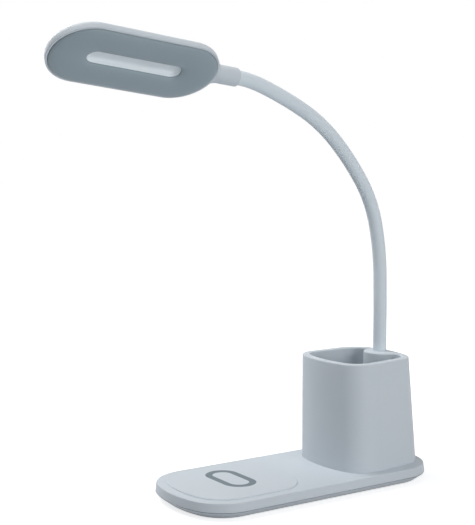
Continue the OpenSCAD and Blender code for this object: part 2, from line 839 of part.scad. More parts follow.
// below lengthens the first link into the boss, beyond lengthens the last into the collar,
// by a stretch that is a touch thinner than the link. A short plug, a touch thinner too,
// joins a link to what lies below its bend, and its bore is a touch wider
module link_tube(k, outer, inner, below, beyond)
  difference() {
    union() {
      at_bend(k)
        link_rod(k, outer);
      at_bend(k)
        translate([0, 0, -overrun])
          cylinder(h = 2 * overrun, r = outer - hair_gap / 2);
      if (k > 0)
        at_bend(k)
          intersection() {
            sphere(cap_radius, $fn = 2 * round_faces);
            translate([0, 0, -cap_radius])
              cylinder(h = cap_radius, r = outer);
          }
      if (k == 0)
        at_bend(k)
          translate([0, 0, -below])
            cylinder(h = below, r = outer);
      if (k == last_link)
        at_bend(k + 1)
          translate([0, 0, -overrun])
            cylinder(h = beyond + overrun, r = outer - hair_gap / 2);
    }
    if (inner > 0) {
      at_bend(k)
        link_rod(k, inner);
      at_bend(k)
        translate([0, 0, -overrun])
          cylinder(h = 2 * overrun, r = inner + hair_gap / 2);
      at_bend(k)
        translate([0, 0, -below - cap_radius - overrun])
          cylinder(h = below + cap_radius + overrun, r = inner);
      if (k == last_link)
        at_bend(k + 1)
          translate([0, 0, -overrun])
            cylinder(h = beyond + 2 * overrun, r = inner + hair_gap / 2);
    }
    if (k < last_link)
      at_bend(k + 1)
        sphere(socket_radius, $fn = 2 * round_faces);
  }

core_bore = lead_radius + move_gap;
sleeve_insert = 5;
core_insert = 18;
lead_insert = 24;

module neck_sleeve(k) color(pale_blue)
  link_tube(k, sleeve_radius, core_radius + hair_gap, sleeve_seat, sleeve_insert);

module neck_core(k) color([0.6, 0.61, 0.63])
  link_tube(k, core_radius, core_bore, core_foot, core_insert);

module neck_lead(k) color([0.9, 0.9, 0.9])
  link_tube(k, lead_radius, 0, rim_height - ferrule_end, lead_insert);

// Head frame: X runs from the collar's mouth to the free end, Z is up out of the shell
module head_frame()
  translate(bend_place(last_link + 1))
    rotate([0, 270 - heading(last_link + 1), 0])
      rotate([180 + head_roll, 0, 0])
        children();

// Ferrule on the neck's upper end, which turns in the collar and is kept by a clip
upper_ferrule_wall = 0.8;
upper_ferrule_outer = core_radius + hair_gap + upper_ferrule_wall;
upper_ferrule_end = 19.5;
swivel_gap = 0.08;
clip_place = 13;
clip_thickness = 1;
clip_groove = 0.4;
clip_radius = 5.9;

module neck_ferrule_upper() color("silver")
  head_frame()
    rotate([0, 90, 0])
      difference() {
        translate([0, 0, sleeve_insert])
          cylinder(h = upper_ferrule_end - sleeve_insert, r = upper_ferrule_outer);
        cylinder(h = upper_ferrule_end + overrun, r = core_radius + hair_gap / 2);
        translate([0, 0, clip_place - hair_gap / 2])
          difference() {
            cylinder(h = clip_thickness + hair_gap, r = collar_diameter);
            translate([0, 0, -overrun])
              cylinder(h = clip_thickness + 3 * overrun, r = upper_ferrule_outer - clip_groove);
          }
      }

clip_bore = upper_ferrule_outer - clip_groove + hair_gap / 2;

module swivel_clip() color([0.3, 0.31, 0.33])
  head_frame()
    rotate([0, 90, 0])
      translate([0, 0, clip_place])
        difference() {
          cylinder(h = clip_thickness, r = clip_radius);
          translate([0, 0, -overrun])
            cylinder(h = clip_thickness + 2 * overrun, r = clip_bore);
        }

// Head plate: its frame lies on the shell's rim, under the middle of the plate
rim_drop = 6.5;
rim_radius = panel_width / 2 + rim_margin;
panel_radius = panel_width / 2;
slot_radius = slot_width / 2;
plate_run = panel_length - panel_width;
slot_run = slot_length - slot_width;
plate_x = collar_length + rim_margin + panel_length / 2;
side_height = 2.8;
shell_wall = 1.8;
dome_power = 2.5;
dome_steps = 10;
panel_wall = 1.6;
ledge_width = 1.6;
ledge_thickness = 0.8;
panel_seat_radius = panel_radius + 2 * hair_gap;

module plate_frame()
  head_frame()
    translate([plate_x, 0, -rim_drop])
      children();

// Half section of the shell's dome: flat sided at the rim, then over to the middle line
function dome(radius, side, height) =
  [for (i = [0:dome_steps])
    let(
      a = 90 * i / dome_steps,
      r = i == dome_steps ? 0 : radius * pow(cos(a), 2 / dome_power)
    )
    [r, side + (height - side) * pow(sin(a), 2 / dome_power)]];
shell_outside = concat([[0, 0], [rim_radius, 0]], dome(rim_radius, side_height, shell_height));

flare_start = 14.5;
flare_bar_radius = 3.2;
flare_bar_half_width = 9;
flare_reach = 18;
flare_bar_lift = 0.6;
mouth_gap = 0.25;
collar_round = 1.2;
lead_way = 14;

module collar_body() {
  rotate([0, 90, 0])
    rotate_extrude() {
      translate([0, collar_round])
        square([collar_diameter / 2, flare_start + overrun - collar_round]);
      square([collar_diameter / 2 - collar_round, collar_round + hair_gap]);
      intersection() {
        translate([collar_diameter / 2 - collar_round, collar_round])
          circle(r = collar_round);
        square([collar_diameter / 2, collar_round + hair_gap]);
      }
    }
  // The collar spreads into the end of the shell
  hull() {
    translate([flare_start, 0, 0])
      rotate([0, 90, 0])
        cylinder(h = hair_gap, d = collar_diameter, $fn = flare_faces);
    for (side = [-1, 1])
      translate([collar_length + flare_reach, side * flare_bar_half_width, flare_bar_lift])
        sphere(flare_bar_radius, $fn = flare_faces);
  }
}

// LED board posts, as shares of the slot's length and of the board's width
led_board_width = 20;
led_board_margin = 4;
led_board_length = slot_length + 2 * led_board_margin;
led_board_bottom = 6.6;
led_board_thickness = 1;
led_post_shares = [[-0.4, -0.32], [-0.4, 0.32], [0.4, -0.32], [0.4, 0.32]];
led_post_places = [for (s = led_post_shares) [s.x * slot_length, s.y * led_board_width]];
led_post_radius = 2.4;
led_screw_radius = 0.9;
led_screw_head = 1.7;
led_screw_head_height = 0.8;
led_screw_length = 3;
led_post_top = shell_height - shell_wall / 2;

module head_shell() color(pale_blue)
  difference() {
    union() {
      difference() {
        union() {
          plate_frame()
            round_obround(plate_run, shell_outside);
          head_frame()
            collar_body();
        }
        plate_frame()
          round_obround(plate_run, concat(
            [
              [0, -overrun],
              [panel_seat_radius, -overrun],
              [panel_seat_radius, panel_wall],
              [panel_seat_radius - ledge_width, panel_wall],
              [panel_seat_radius - ledge_width, panel_wall + ledge_thickness]
            ],
            dome(rim_radius - shell_wall, side_height, shell_height - shell_wall)
          ));
      }
      plate_frame()
        for (p = led_post_places)
          translate([p.x, p.y, led_board_bottom + led_board_thickness])
            cylinder(h = led_post_top - led_board_bottom - led_board_thickness, r = led_post_radius);
    }
    head_frame()
      rotate([0, 90, 0]) {
        translate([0, 0, -overrun])
          cylinder(h = sleeve_insert + move_gap + overrun, r = sleeve_radius + mouth_gap);
        cylinder(h = upper_ferrule_end + move_gap, r = upper_ferrule_outer + swivel_gap);
        translate([0, 0, clip_place - hair_gap])
          cylinder(h = clip_thickness + 2 * hair_gap, r = clip_radius + hair_gap);
        cylinder(h = upper_ferrule_end + lead_way, r = core_bore);
      }
    plate_frame()
      for (p = led_post_places)
        translate([p.x, p.y, led_board_bottom])
          cylinder(h = led_screw_length + hair_gap, r = led_screw_radius + hair_gap / 2);
  }

// Grey panel: a ring with a puffed section, from the shell's rim in to the light slot. Its
// outlines run from the rim's obround to the slot's, and the last one joins the first
puff_steps = 12;
end_steps = 24;
puff_middle = (panel_radius + slot_radius) / 2;
puff_half = (panel_radius - slot_radius) / 2;
panel_inside_share = 0.88;
function puff(z, share) =
  [for (i = [0:puff_steps])
    let(a = 180 * i / puff_steps)
    [puff_middle + share * puff_half * cos(a), z - panel_bulge * sin(a)]];
underside = puff(0, 1);
panel_section = concat(
  [[panel_radius, panel_wall]],
  puff(panel_wall, panel_inside_share),
  [[slot_radius, panel_wall]],
  [for (i = [puff_steps:-1:0]) underside[i]]
);
function panel_ring(p) =
  let(run = slot_run + (plate_run - slot_run) * (p.x - slot_radius) / (panel_radius - slot_radius))
  [for (side = [1, -1])
    for (i = [0:end_steps])
      let(a = 180 * i / end_steps - 90 * side)
      [side * run / 2 + p.x * cos(a), p.x * sin(a), p.y]];

module ring_skin(rings) {
  count = len(rings[0]);
  total = len(rings);
  sides = [
    for (i = [0:total - 1]) each [
      for (j = [0:count - 1])
        let(
          k = (i + 1) % total,
          next = (j + 1) % count,
          a = i * count + j,
          b = i * count + next,
          c = k * count + next,
          d = k * count + j
        )
        each [[a, d, c], [a, c, b]]
    ]
  ];
  polyhedron([for (ring = rings) each ring], sides);
}

module head_panel() color(slate_grey)
  plate_frame()
    ring_skin([for (p = panel_section) panel_ring(p)]);

// Milky lens: a tray let up into the slot, with a flange on the panel's inner edge
lens_depth = 4.3;
lens_wall = 1.2;
lens_side_wall = 0.9;
lens_lip = 0.4;
lens_flange = 2.8;
lens_outside = dome(slot_radius - hair_gap, panel_wall + lens_wall, lens_depth + lens_wall);

module light_lens() color(milky_white)
  plate_frame()
    round_obround(slot_run, concat(
      dome(slot_radius - lens_side_wall, lens_lip, lens_depth),
      [for (i = [len(lens_outside) - 1:-1:0]) lens_outside[i]],
      [
        [slot_radius + lens_flange, panel_wall + lens_wall],
        [slot_radius + lens_flange, panel_wall + hair_gap],
        [slot_radius - hair_gap, panel_wall + hair_gap],
        [slot_radius - hair_gap, lens_lip]
      ]
    ));

module led_board() color(milky_white)
  plate_frame()
    difference() {
      translate([0, 0, led_board_bottom])
        linear_extrude(led_board_thickness)
          obround(led_board_length, led_board_width);
      for (p = led_post_places)
        translate([p.x, p.y, led_board_bottom - overrun])
          cylinder(h = led_board_thickness + 2 * overrun, r = led_screw_radius + hair_gap);
    }

led_columns = 12;
led_rows_pitch = 6;
led_size = [3.5, 2.8, 0.7];

module led_chips() color([0.95, 0.9, 0.6])
  plate_frame()
    for (i = [0:led_columns - 1])
      for (side = [-1, 1])
        translate([
          (i - (led_columns - 1) / 2) * slot_run / led_columns - led_size.x / 2,
          side * led_rows_pitch / 2 - led_size.y / 2,
          led_board_bottom - led_size.z
        ])
          cube(led_size);

module led_screws() color("silver")
  plate_frame()
    for (p = led_post_places)
      translate([p.x, p.y, led_board_bottom])
        screw(led_screw_head, led_screw_head_height, led_screw_radius, led_screw_length);

module head_lead() color([0.9, 0.9, 0.9])
  head_frame()
    translate([lead_insert + move_gap, 0, 0])
      rotate([0, 90, 0])
        cylinder(h = plate_x - led_board_length / 2 - lead_insert - move_gap, r = lead_radius);

base_top_shell();
base_bottom_cover();
base_mat();
base_screws();
ballast_plate();
charging_pad();
pad_ring();
charging_coil();
coil_ferrite();
coil_leads();
control_board();
board_components();
usb_inlet();
touch_sensor();
pen_cup();
cup_screws();
neck_ferrule_lower();
neck_clamp_plate();
clamp_screws();
base_lead();
for (k = [0:last_link])
  neck_sleeve(k);
for (k = [0:last_link])
  neck_core(k);
for (k = [0:last_link])
  neck_lead(k);
neck_ferrule_upper();
swivel_clip();
head_shell();
head_panel();
light_lens();
led_board();
led_chips();
led_screws();
head_lead();
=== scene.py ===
import json
import math
import bmesh
import bpy
from mathutils import Matrix, Vector

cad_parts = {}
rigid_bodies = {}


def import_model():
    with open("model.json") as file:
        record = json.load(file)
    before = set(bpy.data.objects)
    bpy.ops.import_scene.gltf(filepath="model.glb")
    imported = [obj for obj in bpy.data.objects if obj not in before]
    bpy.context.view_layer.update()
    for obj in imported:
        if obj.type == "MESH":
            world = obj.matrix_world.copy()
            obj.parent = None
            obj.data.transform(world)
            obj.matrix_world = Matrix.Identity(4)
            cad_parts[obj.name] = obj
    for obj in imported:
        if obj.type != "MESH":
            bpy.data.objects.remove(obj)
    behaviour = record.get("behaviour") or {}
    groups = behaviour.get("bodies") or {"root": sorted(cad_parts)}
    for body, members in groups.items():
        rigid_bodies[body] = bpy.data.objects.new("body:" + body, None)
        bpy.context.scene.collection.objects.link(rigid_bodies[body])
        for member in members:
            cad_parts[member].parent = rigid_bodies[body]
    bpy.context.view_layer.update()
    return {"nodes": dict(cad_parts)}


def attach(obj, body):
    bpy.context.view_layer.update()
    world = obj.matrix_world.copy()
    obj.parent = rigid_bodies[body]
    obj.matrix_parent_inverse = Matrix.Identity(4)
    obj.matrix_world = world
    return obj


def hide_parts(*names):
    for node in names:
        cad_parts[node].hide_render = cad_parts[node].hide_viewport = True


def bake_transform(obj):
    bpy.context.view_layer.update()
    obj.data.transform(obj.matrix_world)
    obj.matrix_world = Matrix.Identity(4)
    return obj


for leftover in list(bpy.data.objects):
    bpy.data.objects.remove(leftover)
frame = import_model()

# Base cover: the lower moulding of the base, pale satin plastic. Its side slopes in under
# the lamp, a tongue locates the top shell, and six posts take the screws from below.
mm = 0.001
half_length, half_depth = 115, 50
pale_blue_grey = (203, 211, 218)


def rounded(corners, radii, steps=18, runs=4):
    """A polygon's outline with an arc at each corner and each straight run in equal parts."""
    outline = []
    for i, corner in enumerate(corners):
        u = (corners[i - 1] - corner).normalized()
        v = (corners[(i + 1) % len(corners)] - corner).normalized()
        half = math.acos(u.dot(v)) / 2
        start = corner + u * (radii[i] / math.tan(half))
        stop = corner + v * (radii[i] / math.tan(half))
        centre = corner + (u + v).normalized() * (radii[i] / math.sin(half))
        first = math.atan2(start.y - centre.y, start.x - centre.x)
        last = math.atan2(stop.y - centre.y, stop.x - centre.x)
        turn = (last - first + 3 * math.pi) % (2 * math.pi) - math.pi
        if outline:
            outline += [outline[-1].lerp(start, k / runs) for k in range(1, runs)]
        for k in range(steps + 1):
            angle = first + turn * k / steps
            outline.append(centre + radii[i] * Vector((math.cos(angle), math.sin(angle))))
    outline += [outline[-1].lerp(outline[0], k / runs) for k in range(1, runs)]
    return outline


def bulged(half_x, half_y, slant, corner_radius, end_radius, inset):
    """An oblong with bulged ends, drawn in by an inset."""
    end, corner = end_radius - inset, corner_radius - inset
    slant = math.radians(slant)
    tip = half_x - inset + end * (1 / math.cos(slant) - 1)
    depth = half_y - inset
    shoulder = tip - depth * math.tan(slant)
    corners = [(shoulder, -depth), (tip, 0), (shoulder, depth),
               (-shoulder, depth), (-tip, 0), (-shoulder, -depth)]
    return rounded([Vector(c) for c in corners], [corner, end, corner, corner, end, corner])


def base_ring(height, inset):
    """The base's outline at a height, drawn in by an inset."""
    return [(p.x, p.y, height) for p in bulged(half_length, half_depth, 16.6, 33.8, 90, inset)]


def new_piece(name, mesh):
    piece = bpy.data.objects.new(name, mesh)
    bpy.context.scene.collection.objects.link(piece)
    return piece


def bridge(form, rows):
    """Faces from each row of points to the next."""
    for low, high in zip(rows, rows[1:]):
        for i in range(len(low)):
            form.faces.new((low[i - 1], low[i], high[i], high[i - 1]))


def finished_form(name, form):
    """A form with its faces turned outwards, as a piece."""
    bmesh.ops.recalc_face_normals(form, faces=form.faces)
    mesh = bpy.data.meshes.new(name)
    form.to_mesh(mesh)
    form.free()
    return new_piece(name, mesh)


def skin(name, rings, place=Matrix.Identity(4), closed=False):
    """A skin through rings of points in millimetres: capped at both ends, or closed on itself."""
    form = bmesh.new()
    rows = [[form.verts.new(place @ Vector(p) * mm) for p in ring] for ring in rings]
    bridge(form, rows + rows[:1] if closed else rows)
    if not closed:
        form.faces.new(rows[0])
        form.faces.new(rows[-1])
    bmesh.ops.remove_doubles(form, verts=form.verts, dist=1e-7)
    return finished_form(name, form)


def circle(x, y, height, radius, steps=40):
    angles = [2 * math.pi * k / steps for k in range(steps)]
    return [(x + radius * math.cos(a), y + radius * math.sin(a), height) for a in angles]


def rods(name, places, levels, place=Matrix.Identity(4)):
    """Turned rods at several places, in one mesh: levels are pairs of height and radius."""
    form = bmesh.new()
    for x, y in places:
        rows = [[form.verts.new(place @ Vector(p) * mm) for p in circle(x, y, z, r)] for z, r in levels]
        bridge(form, rows)
        form.faces.new(rows[0])
        form.faces.new(rows[-1])
    return finished_form(name, form)


def as_evaluated(piece):
    """The piece's mesh with its modifiers worked in, and the modifiers gone."""
    mesh = bpy.data.meshes.new_from_object(piece.evaluated_get(bpy.context.evaluated_depsgraph_get()))
    piece.modifiers.clear()
    piece.data = mesh
    return piece


def carve(piece, tool, operation="DIFFERENCE"):
    step = piece.modifiers.new("carve", "BOOLEAN")
    step.object = tool
    step.operation = operation
    step.solver = "EXACT"
    as_evaluated(piece)
    bpy.data.objects.remove(tool)


class Shade:
    """A socket in a node tree, so that sums on it add their Math nodes."""

    def __init__(self, owner, socket):
        self.owner, self.socket = owner, socket

    def maths(self, operation, *terms):
        return self.owner.node("ShaderNodeMath", {"operation": operation}, dict(enumerate(terms)))

    def __add__(self, other): return self.maths("ADD", self, other)
    def __radd__(self, other): return self.maths("ADD", other, self)
    def __sub__(self, other): return self.maths("SUBTRACT", self, other)
    def __rsub__(self, other): return self.maths("SUBTRACT", other, self)
    def __mul__(self, other): return self.maths("MULTIPLY", self, other)
    def __rmul__(self, other): return self.maths("MULTIPLY", other, self)
    def __lt__(self, other): return self.maths("LESS_THAN", self, other)
    def at_most(self, other): return self.maths("MINIMUM", self, other)
    def at_least(self, other): return self.maths("MAXIMUM", self, other)


class Wiring:
    """A node tree and the one way nodes are added to it."""

    def __init__(self, tree):
        self.tree = tree

    def node(self, kind, settings, inputs, output=0):
        made = self.tree.nodes.new(kind)
        for key, value in settings.items():
            setattr(made, key, value)
        for key, value in inputs.items():
            if isinstance(value, Shade):
                self.tree.links.new(value.socket, made.inputs[key])
            else:
                made.inputs[key].default_value = value
        return Shade(self, made.outputs[output]) if len(made.outputs) else made


def tint(red, green, blue, light=1.0):
    """A colour as it shows on a screen, 0 to 255, made linear."""
    parts = [c / 255 for c in (red, green, blue)]
    return [light * (c / 12.92 if c < 0.04045 else ((c + 0.055) / 1.055) ** 2.4) for c in parts] + [1]


class Finish(Wiring):
    """A material under construction: patterns on the piece's own coordinates, then a surface."""

    def __init__(self, name):
        self.material = bpy.data.materials.new(name)
        self.material.use_nodes = True
        self.material.node_tree.nodes.clear()
        super().__init__(self.material.node_tree)
        self.place = self.node("ShaderNodeTexCoord", {}, {}, "Object")

    def noise(self, scale, detail=2.0, roughness=0.5):
        return self.node("ShaderNodeTexNoise", {}, {
            "Vector": self.place, "Scale": scale, "Detail": detail, "Roughness": roughness})

    def mix(self, share, first, second):
        return self.node("ShaderNodeMix", {"data_type": "RGBA"}, {0: share, 6: first, 7: second}, 2)

    def surface(self, colour, roughness, height=None, rise=0.02, **fixed):
        """Rise is how far the height pattern stands up, in millimetres."""
        inputs = {"Base Color": colour, "Roughness": roughness}
        if height is not None:
            inputs["Normal"] = self.node("ShaderNodeBump", {}, {
                "Height": height, "Strength": 1.0, "Distance": rise * mm})
        inputs.update({key.replace("_", " "): value for key, value in fixed.items()})
        skin_shader = self.node("ShaderNodeBsdfPrincipled", {}, inputs)
        self.node("ShaderNodeOutputMaterial", {}, {"Surface": skin_shader})
        return self.material


def satin_plastic(name, colour, roughness=0.5):
    """Moulded plastic from a spark-eroded tool: a drift of tone, faint smudges and a fine grain."""
    finish = Finish(name)
    drift = finish.noise(11, 2)
    smudge = finish.noise(95, 4, 0.6)
    grain = finish.noise(2600, 2)
    tone = finish.mix(drift * 0.8 + smudge * 0.2, tint(*colour, 0.965), tint(*colour, 1.035))
    sheen = roughness - 0.05 + 0.1 * smudge + 0.04 * grain
    return finish.surface(tone, sheen, grain, 0.002, Specular_IOR_Level=0.3)


def coat(piece, material, angle=30):
    """Gives a piece its material, smooth but for edges sharper than an angle."""
    piece.data.materials.clear()
    piece.data.materials.append(material)
    piece.data.shade_smooth()
    piece.data.set_sharp_from_angle(angle=math.radians(angle))


def show(piece, material, slot, body, *nodes, angle=30):
    """Gives a finished piece its material and its body, and lets it stand for its CAD nodes."""
    coat(piece, material, angle)
    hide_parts(*nodes)
    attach(piece, body)


pale_plastic = satin_plastic("pale satin plastic", pale_blue_grey)
base_screw_places = [(sx * 88, sy * 26) for sx in (-1, 1) for sy in (-1, 1)] + [(0, -36), (0, 36)]
board_pin_places = [(27, -15), (27, 35.8), (71, -15), (71, 35.8)]
# Height and inset, from the underside up the slope, over the tongue and down to the floor
cover_section = [(1.2, 11.4), (1.2, 11.1), (0.8, 11.0), (0.8, 7.1), (0.86, 6.55), (1.1, 6.0),
                 (6.0, -0.68), (6.16, -0.82), (6.3, -0.7), (6.3, 1.75), (7.5, 2.35), (7.5, 3.55),
                 (5.1, 2.9), (2.8, 6.32), (2.8, 6.6)]
base_cover = skin("base_cover", [base_ring(z, d) for z, d in cover_section])
carve(base_cover, rods("posts", base_screw_places, [(1.6, 4.6), (5.0, 4.6)]), "UNION")
pin_levels = [(1.8, 2.6), (6.6, 2.6), (6.6, 1.2), (8.1, 1.2), (8.4, 0.9)]
carve(base_cover, rods("pins", board_pin_places, pin_levels), "UNION")
sink_levels = [(0, 3.1), (3.8, 3.1), (3.8, 1.65), (6, 1.65)]
carve(base_cover, rods("sinks", base_screw_places, sink_levels))
show(base_cover, pale_plastic, "pale_shell", "root", "base_bottom_cover")

# Ballast plate: a stamped steel plate glued to the cover's floor, which keeps the lamp from
# tipping. Rolled steel with dull patches of mill scale.


def dress(material, *nodes):
    """A CAD node whose shape is right keeps it, and takes this material."""
    for node in nodes:
        for slot in frame["nodes"][node].material_slots:
            slot.material = material


finish = Finish("rolled ballast steel")
scale_patches = finish.noise(60, 5, 0.65)
pits = finish.noise(900, 3)
steel = finish.mix(scale_patches, tint(88, 90, 94), tint(142, 144, 148))
dress(finish.surface(steel, 0.62 - 0.25 * scale_patches, pits, 0.02, Metallic=0.9), "ballast_plate")

# Control board: a green printed board on four pins, with its sockets, choke, chips and
# capacitor, the supply inlet at its back edge and the jacketed lead up to the neck.
finish = Finish("green solder mask")
tracks = finish.node("ShaderNodeTexVoronoi", {"feature": "DISTANCE_TO_EDGE", "distance": "MANHATTAN"},
                     {"Vector": finish.place, "Scale": 320, "Randomness": 0.35})
weave = finish.noise(1500, 2)
copper = (tracks < 0.09) * 0.7
mask_colour = finish.mix(copper, tint(24, 92, 62), tint(56, 134, 88))
dress(finish.surface(mask_colour, 0.34 + 0.12 * weave, copper + weave * 0.15, 0.03), "control_board")



def specked(name, pattern, dark, light, roughness, swing, rise, **fixed):
    """A finish whose tone, sheen and height all follow one fine pattern."""
    finish = Finish(name)
    speck = finish.noise(*pattern)
    tone = finish.mix(speck, tint(*dark), tint(*light))
    return finish.surface(tone, roughness + swing * speck, speck, rise, **fixed)


dress(specked("black epoxy parts", (1400, 3), (34, 35, 38), (58, 59, 63), 0.45, 0.2, 0.01),
      "board_components")
white_jacket = specked("white jacket of the leads", (420, 4), (214, 214, 210), (232, 232, 229),
                       0.42, 0.12, 0.01)
dress(white_jacket, "base_lead")


def zinc_steel(name, dark, light, roughness):
    """Plated steel: metal with a cloudy plating and fine turning marks."""
    finish = Finish(name)
    cloud = finish.noise(240, 4, 0.6)
    marks = finish.noise(2200, 2)
    tone = finish.mix(cloud, tint(*dark), tint(*light))
    return finish.surface(tone, roughness + 0.12 * cloud, marks, 0.004, Metallic=1.0)


zinc = zinc_steel("zinc plated steel", (176, 180, 184), (206, 209, 212), 0.24)
dress(zinc, "usb_inlet")

# Top shell of the base: the upper moulding, screwed from below through the cover. A shallow
# recess takes the charging pad, and a slot in the back wall opens on the supply inlet.


def obround_ring(run, radius, height, steps=40):
    """A ring round an obround, long along X: run is the distance between its end centres."""
    ring = []
    for side in (1, -1):
        for k in range(steps + 1):
            angle = math.pi * (k / steps - 0.5) + (0 if side > 0 else math.pi)
            ring.append((side * run / 2 + radius * math.cos(angle), radius * math.sin(angle), height))
    return ring


def quarter(steps=8):
    """Sine and cosine over a quarter turn."""
    return [(math.sin(math.pi / 2 * k / steps), math.cos(math.pi / 2 * k / steps)) for k in range(steps + 1)]


def pad_ring_at(height, inset):
    """The pad's outline at a height, drawn in by an inset."""
    return [(p.x + pad_x, p.y, height) for p in bulged(48, 42.5, 14.7, 27.88, 85, inset)]


pad_x = -59.5
cup_screw_places = [(40.4, -21.7), (40.4, 21.7), (79.15, -15.5)]
neck_x, neck_y = 94.5, 7
shell_section = [(11.5, 2.6), (11.5, 2.2), (6.7, 1.3), (6.7, -0.6), (6.76, -0.8), (6.9, -0.88)]
shell_section += [(12.7 + s, -0.1 + 1 - c) for s, c in quarter()] + [(13.7, 1.3)]
base_top = skin("base_top", [base_ring(z, d) for z, d in shell_section])
carve(base_top, rods("screw_posts", base_screw_places, [(5.05, 3.5), (11.9, 3.5)]), "UNION")
carve(base_top, rods("pilots", base_screw_places, [(4, 1.25), (11.05, 1.25)]))
carve(base_top, rods("ways", cup_screw_places, [(10.5, 1.65), (14.7, 1.65)]))
carve(base_top, rods("lead_way", [(neck_x, neck_y)], [(10.5, 4), (14.7, 4)]))
carve(base_top, skin("recess", [pad_ring_at(z, 0.7) for z in (13.1, 14.7)]))
inlet_place = Matrix.Translation((49, 46, 9.4)) @ Matrix.Rotation(math.radians(-90), 4, "X")
inlet_rings = [obround_ring(5.7, radius, z) for radius, z in ((2.0, 0), (2.0, 4.1), (3.2, 6))]
carve(base_top, skin("inlet_way", inlet_rings, inlet_place))
show(base_top, pale_plastic, "pale_shell", "root", "base_top_shell")

# Charging coil: enamelled copper wire wound flat under the shell's ceiling, on a black
# ferrite disc, with two leads to the board. The touch sensor is a copper disc of foil.
ring_x, ring_y = -57.5, 5


def sized_tree(name, sizes):
    """A Geometry Nodes tree with a named input for each size."""
    tree = bpy.data.node_groups.new(name, "GeometryNodeTree")
    tree.interface.new_socket("Geometry", in_out="INPUT", socket_type="NodeSocketGeometry")
    tree.interface.new_socket("Geometry", in_out="OUTPUT", socket_type="NodeSocketGeometry")
    for size, kind in sizes.items():
        tree.interface.new_socket(size, in_out="INPUT", socket_type=kind)
    wiring = Wiring(tree)
    entry = tree.nodes.new("NodeGroupInput")
    wiring.given = {socket.name: Shade(wiring, socket) for socket in entry.outputs if socket.name}
    return wiring


def close_tree(wiring, geometry):
    """Ends a tree in real geometry with its material."""
    real = wiring.node("GeometryNodeRealizeInstances", {}, {0: geometry})
    painted = wiring.node("GeometryNodeSetMaterial", {}, {0: real, "Material": wiring.given["Material"]})
    wiring.tree.links.new(painted.socket, wiring.tree.nodes.new("NodeGroupOutput").inputs[0])


def grown(piece, wiring, values):
    """Works a tree into the piece, with each size set by its socket's identifier."""
    step = piece.modifiers.new("growth", "NODES")
    step.node_group = wiring.tree
    for socket in wiring.tree.interface.items_tree:
        if socket.in_out == "INPUT" and socket.name in values:
            step[socket.identifier] = values[socket.name]
    return piece


def points_piece(name, points, linked=False):
    """Bare points in millimetres, linked into a path or not, for a tree to grow on."""
    mesh = bpy.data.meshes.new(name)
    links = [(i, i + 1) for i in range(len(points) - 1)] if linked else []
    mesh.from_pydata([Vector(p) * mm for p in points], links, [])
    return new_piece(name, mesh)


copper_wire = specked("enamelled copper wire", (700, 3), (150, 78, 42), (196, 112, 66),
                      0.3, 0.15, 0.005, Metallic=1.0)
winding = sized_tree("flat winding", {
    "Turns": "NodeSocketFloat", "Inner Radius": "NodeSocketFloat", "Outer Radius": "NodeSocketFloat",
    "Wire Radius": "NodeSocketFloat", "Centre": "NodeSocketVector", "Material": "NodeSocketMaterial"})
spiral = winding.node("GeometryNodeCurveSpiral", {}, {
    "Resolution": 44, "Rotations": winding.given["Turns"], "Start Radius": winding.given["Inner Radius"],
    "End Radius": winding.given["Outer Radius"], "Height": 0.0})
wire = winding.node("GeometryNodeCurvePrimitiveCircle", {}, {
    "Resolution": 8, "Radius": winding.given["Wire Radius"]})
wound = winding.node("GeometryNodeCurveToMesh", {}, {0: spiral, 1: wire, "Fill Caps": True})
centred = winding.node("GeometryNodeTransform", {}, {0: wound, "Translation": winding.given["Centre"]})
close_tree(winding, centred)
coil_middle = (ring_x, ring_y, 10.8)
coil = grown(points_piece("coil", [coil_middle]), winding, {
    "Turns": 11.0, "Inner Radius": 9.7 * mm, "Outer Radius": 23.35 * mm, "Wire Radius": 0.6 * mm,
    "Centre": Vector(coil_middle) * mm, "Material": copper_wire})
show(as_evaluated(coil), copper_wire, "copper_coil", "root", "charging_coil", angle=60)
dress(copper_wire, "coil_leads", "touch_sensor")
dress(specked("black ferrite", (1100, 4, 0.7), (38, 38, 42), (64, 64, 70), 0.7, -0.2, 0.02),
      "coil_ferrite")

# Charging pad: a thin moulded cover let into the top shell, its edge rounded over, with a
# groove for the ring.
pad_section = [(13.1, 1.2), (13.1, 0.8), (13.7, 0.8), (13.7, 0.06), (13.8, 0)]
pad_section += [(13.95 + 0.75 * s, 1.1 * (1 - c)) for s, c in quarter()] + [(14.7, 1.5)]
pad = skin("charging_pad_cover", [pad_ring_at(z, d) for z, d in pad_section])
ring_place = Matrix.Translation((ring_x, ring_y, 0)) @ Matrix.Rotation(math.pi / 2, 4, "Z")
ring_length, ring_width = 50.5, 27
ring_run = ring_length - ring_width
groove_section = [(13.5, 14.2), (13.5, 15.7), (7.9, 15.7), (7.9, 14.2)]
groove_rings = [obround_ring(ring_run, r, z) for r, z in groove_section]
carve(pad, skin("groove", groove_rings, ring_place, closed=True))
show(pad, pale_plastic, "pale_shell", "root", "charging_pad")

# Ring in the pad: soft slate-grey rubber, obround, pressed into its groove and a hair proud
# of the pad, so that a phone doesn't slide.
finish = Finish("slate rubber")
rubber_drift = finish.noise(40, 3)
rubber_grain = finish.noise(1800, 2)
rubber_tone = finish.mix(rubber_drift, tint(112, 125, 132), tint(122, 135, 142))
slate_rubber = finish.surface(rubber_tone, 0.62 + 0.1 * rubber_grain, rubber_grain, 0.01,
                              Specular_IOR_Level=0.25)
ring_section = [(13.46, 14.2), (13.46, 14.62), (13.41, 14.74), (13.28, 14.8), (13.1, 14.8),
                (8.3, 14.8), (8.12, 14.8), (7.99, 14.74), (7.94, 14.62), (7.94, 14.2)]
ring = skin("pad_grip_ring", [obround_ring(ring_run, r, z) for r, z in ring_section], ring_place, closed=True)
show(ring, slate_rubber, "grey_trim", "root", "pad_ring")

